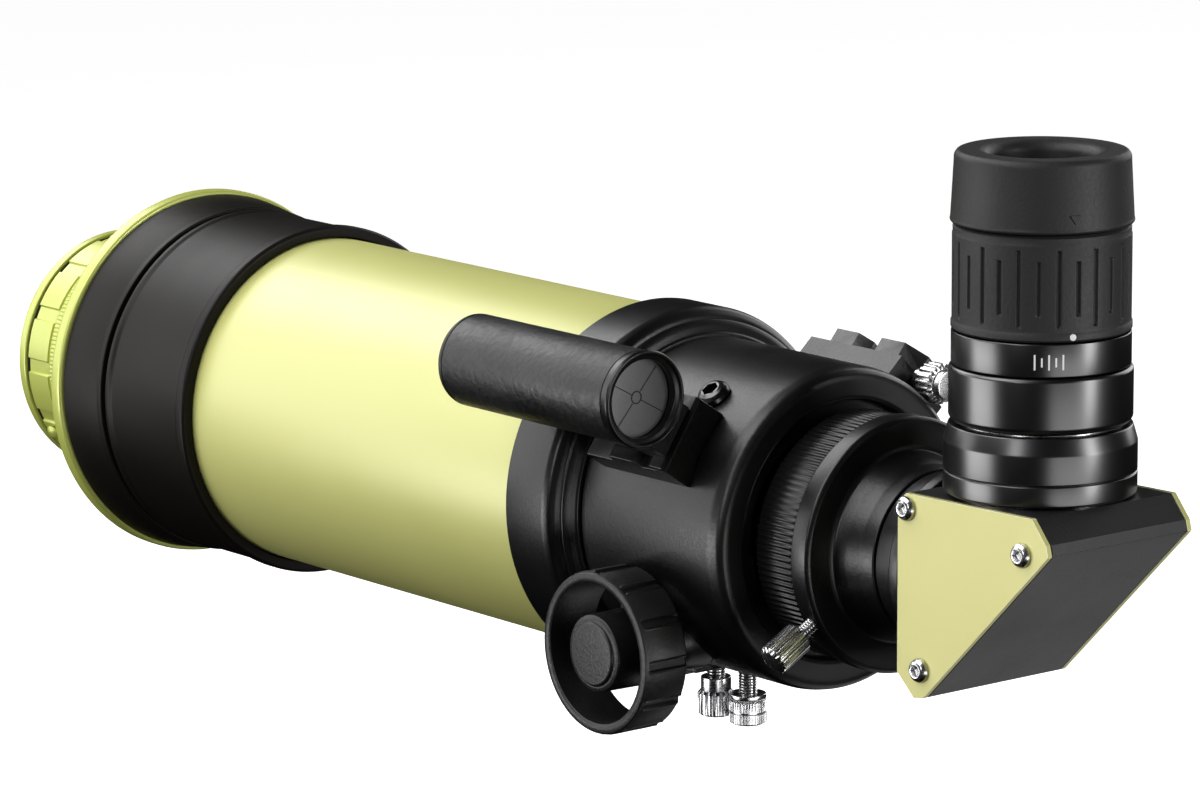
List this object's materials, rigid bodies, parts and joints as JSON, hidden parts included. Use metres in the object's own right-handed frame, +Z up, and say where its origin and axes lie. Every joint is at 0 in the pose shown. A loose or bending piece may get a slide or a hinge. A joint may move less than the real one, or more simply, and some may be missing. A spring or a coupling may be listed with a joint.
{
  "type": "compact solar telescope",
  "caption": "Short metal telescope with a front tuning ring, side sun finder, rack focuser, right-angle mirror diagonal and eyepiece.",
  "frame": {"origin": "on the optical axis, near the middle of the main tube, where tube rings would clamp it", "axes": "+Y along the optical axis towards the sky end, +Z up through the eyepiece, +X to the right seen from behind the eyepiece end"},
  "size_m": [0.1043, 0.3448, 0.1321],
  "materials": {
    "front_ring": "satin metallic yellow-green lacquer",
    "tuning_ring": "satin metallic yellow-green lacquer",
    "tuning_button": "satin metallic yellow-green lacquer",
    "tuner_cell": "satin metallic yellow-green lacquer",
    "filter_plate_front": "deep red coated filter glass",
    "filter_plate_rear": "deep red coated filter glass",
    "front_flange": "satin metallic yellow-green lacquer",
    "collar_front": "satin brown-black anodised metal",
    "collar_rear": "satin brown-black anodised metal",
    "lens_cell": "satin black, finely textured metal",
    "objective_crown": "coated optical glass",
    "objective_flint": "coated optical glass",
    "main_tube": "satin metallic yellow-green lacquer",
    "baffle": "satin black, finely textured metal",
    "back_cell": "satin black, finely textured metal",
    "focuser_body": "satin black, finely textured metal",
    "drum_screw": "gloss black",
    "bush_left": "machined brass",
    "bush_right": "machined brass",
    "cover_plate": "ground steel",
    "cover_block": "satin black, finely textured metal",
    "drawtube": "polished chrome",
    "focus_rack": "machined brass",
    "pinion_shaft": "ground steel",
    "focus_knob_left": "matte black moulded plastic",
    "focus_knob_right": "matte black moulded plastic",
    "tension_screw": "polished chrome",
    "lock_screw": "polished chrome",
    "knurled_ring": "satin black, finely textured metal",
    "visual_back": "satin black, finely textured metal",
    "clamp_screw": "polished chrome",
    "shoe_left": "satin black, finely textured metal",
    "shoe_right": "satin black, finely textured metal",
    "shoe_screw": "polished chrome",
    "finder_tube": "matte black moulded plastic",
    "finder_rear_ring": "matte black moulded plastic",
    "finder_screen": "grey translucent screen",
    "finder_front_cap": "matte black moulded plastic",
    "finder_foot": "matte black moulded plastic",
    "diagonal_body": "satin black, finely textured metal",
    "diagonal_mirror": "front-silvered mirror",
    "diagonal_nose": "satin black, finely textured metal",
    "side_plate_left": "satin metallic yellow-green lacquer",
    "side_plate_right": "satin metallic yellow-green lacquer",
    "eyepiece_holder": "satin black, finely textured metal",
    "holder_screw": "polished chrome",
    "eyepiece_barrel": "polished chrome",
    "eyepiece_body": "gloss black",
    "eyepiece_band": "matte black moulded plastic",
    "eyepiece_grip": "dark grey soft rubber",
    "eyecup": "dark grey soft rubber",
    "eye_lens": "coated optical glass",
    "plate_screw_left_1": "polished chrome",
    "plate_screw_left_2": "polished chrome",
    "plate_screw_left_3": "polished chrome",
    "plate_screw_right_1": "polished chrome",
    "plate_screw_right_2": "polished chrome",
    "plate_screw_right_3": "polished chrome"
  },
  "bodies": {
    "telescope": {"front_ring": "front_ring", "tuner_cell": "tuner_cell", "filter_plate_front": "filter_plate_front", "filter_plate_rear": "filter_plate_rear", "front_flange": "front_flange", "collar_front": "collar_front", "collar_rear": "collar_rear", "lens_cell": "lens_cell", "objective_crown": "objective_crown", "objective_flint": "objective_flint", "main_tube": "main_tube", "baffle": "baffle", "back_cell": "back_cell", "focuser_body": "focuser_body", "drum_screw": "drum_screw", "bush_left": "bush_left", "bush_right": "bush_right", "cover_plate": "cover_plate", "cover_block": "cover_block", "shoe_left": "shoe_left", "shoe_right": "shoe_right"},
    "tuner": {"tuning_ring": "tuning_ring", "tuning_button": "tuning_button"},
    "focuser": {"drawtube": "drawtube", "focus_rack": "focus_rack", "visual_back": "visual_back"},
    "lock_ring": {"knurled_ring": "knurled_ring"},
    "pinion": {"pinion_shaft": "pinion_shaft", "focus_knob_left": "focus_knob_left", "focus_knob_right": "focus_knob_right"},
    "tension_screw": {"tension_screw": "tension_screw"},
    "lock_screw": {"lock_screw": "lock_screw"},
    "clamp_screw": {"clamp_screw": "clamp_screw"},
    "shoe_screw": {"shoe_screw": "shoe_screw"},
    "holder_screw": {"holder_screw": "holder_screw"},
    "finder": {"finder_tube": "finder_tube", "finder_rear_ring": "finder_rear_ring", "finder_screen": "finder_screen", "finder_front_cap": "finder_front_cap", "finder_foot": "finder_foot"},
    "diagonal": {"diagonal_body": "diagonal_body", "diagonal_mirror": "diagonal_mirror", "diagonal_nose": "diagonal_nose", "side_plate_left": "side_plate_left", "side_plate_right": "side_plate_right", "eyepiece_holder": "eyepiece_holder", "plate_screw_left_1": "plate_screw_left_1", "plate_screw_left_2": "plate_screw_left_2", "plate_screw_left_3": "plate_screw_left_3", "plate_screw_right_1": "plate_screw_right_1", "plate_screw_right_2": "plate_screw_right_2", "plate_screw_right_3": "plate_screw_right_3"},
    "eyepiece": {"eyepiece_barrel": "eyepiece_barrel", "eyepiece_body": "eyepiece_body", "eyepiece_band": "eyepiece_band", "eyepiece_grip": "eyepiece_grip", "eyecup": "eyecup", "eye_lens": "eye_lens"}
  },
  "joints": [
    {"name": "focus_travel", "type": "slide", "parent": "telescope", "child": "focuser", "axis": [0, -1, 0], "range_m": [0, 0.035]},
    {"name": "focus_pinion", "type": "hinge", "parent": "telescope", "child": "pinion", "pos_m": [0, -0.0975, -0.0231], "axis": [1, 0, 0], "range_deg": [-5, 675]},
    {"name": "tuning_turn", "type": "hinge", "parent": "telescope", "child": "tuner", "pos_m": [0, 0.1317, 0], "axis": [0, 1, 0], "range_deg": [-120, 120]},
    {"name": "lock_ring_turn", "type": "hinge", "parent": "focuser", "child": "lock_ring", "pos_m": [0, -0.1291, 0], "axis": [0, 1, 0], "range_deg": [-90, 90]},
    {"name": "diagonal_turn", "type": "hinge", "parent": "focuser", "child": "diagonal", "pos_m": [0, -0.14, 0], "axis": [0, 1, 0], "continuous": true},
    {"name": "eyepiece_slide", "type": "slide", "parent": "diagonal", "child": "eyepiece", "axis": [0, 0, 1], "range_m": [0, 0.012]},
    {"name": "finder_slide", "type": "slide", "parent": "telescope", "child": "finder", "axis": [0.5592, 0, 0.829], "range_m": [-0.006, 0.006]},
    {"name": "tension_screw_turn", "type": "hinge", "parent": "telescope", "child": "tension_screw", "pos_m": [0, -0.0806, -0.042], "axis": [0, 0, 1], "range_deg": [-180, 180]},
    {"name": "lock_screw_turn", "type": "hinge", "parent": "telescope", "child": "lock_screw", "pos_m": [0, -0.091, -0.043], "axis": [0, 0, 1], "range_deg": [-180, 180]},
    {"name": "clamp_screw_turn", "type": "hinge", "parent": "focuser", "child": "clamp_screw", "pos_m": [-0.02944, -0.138, -0.017], "axis": [-0.866, 0, -0.5], "range_deg": [-180, 180]},
    {"name": "shoe_screw_turn", "type": "hinge", "parent": "telescope", "child": "shoe_screw", "pos_m": [0.02762, -0.1175, 0.02668], "axis": [0, 1, 0], "range_deg": [-180, 180]},
    {"name": "holder_screw_turn", "type": "hinge", "parent": "diagonal", "child": "holder_screw", "pos_m": [0.01528, -0.15991, 0.0255], "axis": [0.6111, 0.7915, 0], "range_deg": [-180, 180]}
  ],
  "couplings": [
    {"joint": "focus_pinion", "follows": "focus_travel", "rad_per_m": 333.33}
  ]
}
